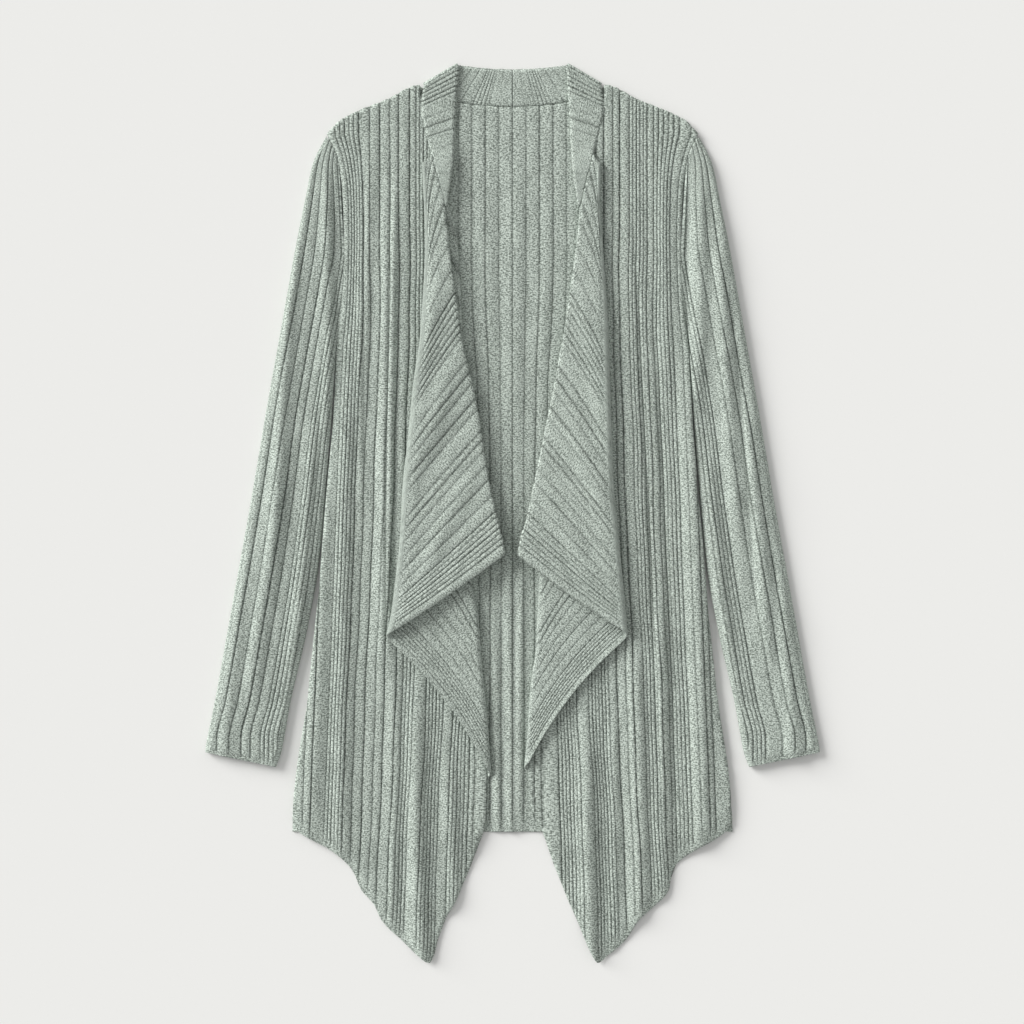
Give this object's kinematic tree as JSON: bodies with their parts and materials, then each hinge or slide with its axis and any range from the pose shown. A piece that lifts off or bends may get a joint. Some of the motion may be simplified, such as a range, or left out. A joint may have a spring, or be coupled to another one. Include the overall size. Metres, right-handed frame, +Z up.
{
  "type": "waterfall cardigan",
  "caption": "Open waterfall cardigan in sage rib knit, laid flat, with long sleeves and folded cascade fronts.",
  "frame": {"origin": "on the surface that the cardigan lies on, under the middle of its outline", "axes": "+Y from the hem towards the neck, +X towards the wearer's left sleeve, +Z up off the surface"},
  "size_m": [0.615, 0.9001, 0.0154],
  "materials": {
    "knit": "soft matt heathered rib knit in sage green"
  },
  "bodies": {
    "root": {"back": "knit", "front_right": "knit", "front_left": "knit", "sleeve_right": "knit", "sleeve_left": "knit", "neckband": "knit"}
  },
  "joints": []
}
